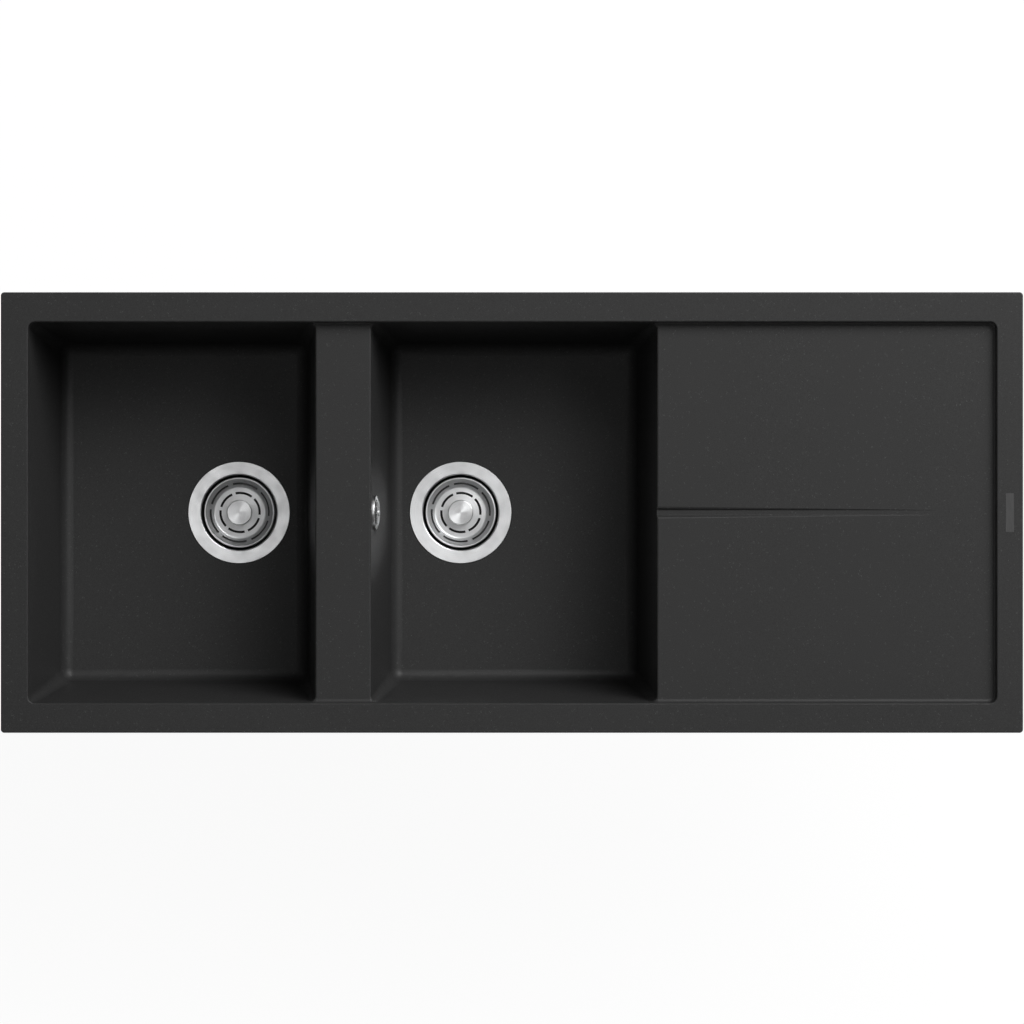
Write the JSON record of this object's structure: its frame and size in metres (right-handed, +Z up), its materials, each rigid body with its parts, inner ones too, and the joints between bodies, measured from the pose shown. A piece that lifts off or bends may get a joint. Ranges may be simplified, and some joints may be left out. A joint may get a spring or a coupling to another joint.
{
  "type": "double bowl kitchen sink",
  "caption": "Inset composite kitchen sink with twin deep bowls, side drainer, lift-out strainer baskets, overflow, trap and worktop clips.",
  "frame": {"origin": "centre of the sink's outline on the worktop plane, which is the rim's underside", "axes": "+Z up, +X from the bowls towards the drainer, +Y towards the wall behind the sink"},
  "size_m": [1.16, 0.5, 0.5512],
  "materials": {
    "composite": "matte, finely speckled, moulded quartz composite",
    "steel": "satin stainless steel",
    "zinc": "zinc-plated steel",
    "brass": "turned",
    "plate": "blank, satin anodised",
    "black_plastic": "moulded polypropylene",
    "white_plastic": "moulded polypropylene",
    "hose_plastic": "corrugated flexible hose",
    "gasket": "moulded",
    "stopper_rubber": "moulded",
    "foam": "closed-cell foam strip"
  },
  "bodies": {
    "sink": {"sink_body": "composite", "rim_seal": "foam", "rim_plate": "plate", "left_strainer_cup": "steel", "left_flange_gasket": "gasket", "left_body_gasket": "gasket", "left_waste_body": "black_plastic", "left_clamp_screw": "steel", "left_clamp_nut": "brass", "right_strainer_cup": "steel", "right_flange_gasket": "gasket", "right_body_gasket": "gasket", "right_waste_body": "black_plastic", "right_clamp_screw": "steel", "right_clamp_nut": "brass", "overflow_cover": "steel", "overflow_screw": "steel", "overflow_gasket": "gasket", "overflow_elbow": "black_plastic", "overflow_hose": "hose_plastic", "hose_clips": "zinc", "left_elbow": "white_plastic", "cross_pipe": "white_plastic", "tee": "white_plastic", "trap_head": "white_plastic", "trap_cup": "white_plastic", "outlet_pipe": "white_plastic", "trap_seal": "gasket", "compression_washers": "gasket", "left_waste_nut": "white_plastic", "right_waste_nut": "white_plastic", "cross_pipe_left_nut": "white_plastic", "cross_pipe_right_nut": "white_plastic", "trap_inlet_nut": "white_plastic", "trap_outlet_nut": "white_plastic", "clip_inserts": "brass", "clip_screws": "zinc"},
    "left_stopper_set": {"left_post": "steel", "left_stopper": "stopper_rubber"},
    "left_basket_set": {"left_basket": "steel", "left_knob": "steel"},
    "right_stopper_set": {"right_post": "steel", "right_stopper": "stopper_rubber"},
    "right_basket_set": {"right_basket": "steel", "right_knob": "steel"},
    "claw_front_left_body": {"claw_front_left": "zinc"},
    "claw_front_middle_body": {"claw_front_middle": "zinc"},
    "claw_front_right_body": {"claw_front_right": "zinc"},
    "claw_back_left_body": {"claw_back_left": "zinc"},
    "claw_back_middle_body": {"claw_back_middle": "zinc"},
    "claw_back_right_body": {"claw_back_right": "zinc"},
    "claw_left_body": {"claw_left": "zinc"},
    "claw_right_body": {"claw_right": "zinc"}
  },
  "joints": [
    {"name": "left_basket_lift", "type": "slide", "parent": "sink", "child": "left_stopper_set", "axis": [0, 0, 1], "range_m": [0, 0.265]},
    {"name": "left_basket_turn", "type": "hinge", "parent": "left_stopper_set", "child": "left_basket_set", "pos_m": [-0.3225, 0, -0.205], "axis": [0, 0, 1], "continuous": true},
    {"name": "right_basket_lift", "type": "slide", "parent": "sink", "child": "right_stopper_set", "axis": [0, 0, 1], "range_m": [0, 0.265]},
    {"name": "right_basket_turn", "type": "hinge", "parent": "right_stopper_set", "child": "right_basket_set", "pos_m": [-0.0606, 0, -0.205], "axis": [0, 0, 1], "continuous": true},
    {"name": "claw_front_left_swing", "type": "hinge", "parent": "sink", "child": "claw_front_left_body", "pos_m": [-0.371, -0.229, -0.053], "axis": [0, 0, -1], "range_deg": [0, 90]},
    {"name": "claw_front_middle_swing", "type": "hinge", "parent": "sink", "child": "claw_front_middle_body", "pos_m": [0, -0.229, -0.053], "axis": [0, 0, -1], "range_deg": [0, 90]},
    {"name": "claw_front_right_swing", "type": "hinge", "parent": "sink", "child": "claw_front_right_body", "pos_m": [0.371, -0.229, -0.053], "axis": [0, 0, -1], "range_deg": [0, 90]},
    {"name": "claw_back_left_swing", "type": "hinge", "parent": "sink", "child": "claw_back_left_body", "pos_m": [-0.371, 0.229, -0.053], "axis": [0, 0, 1], "range_deg": [0, 90]},
    {"name": "claw_back_middle_swing", "type": "hinge", "parent": "sink", "child": "claw_back_middle_body", "pos_m": [0, 0.229, -0.053], "axis": [0, 0, 1], "range_deg": [0, 90]},
    {"name": "claw_back_right_swing", "type": "hinge", "parent": "sink", "child": "claw_back_right_body", "pos_m": [0.371, 0.229, -0.053], "axis": [0, 0, 1], "range_deg": [0, 90]},
    {"name": "claw_left_swing", "type": "hinge", "parent": "sink", "child": "claw_left_body", "pos_m": [-0.56, 0, -0.053], "axis": [0, 0, 1], "range_deg": [0, 90]},
    {"name": "claw_right_swing", "type": "hinge", "parent": "sink", "child": "claw_right_body", "pos_m": [0.56, 0, -0.053], "axis": [0, 0, -1], "range_deg": [0, 90]}
  ]
}
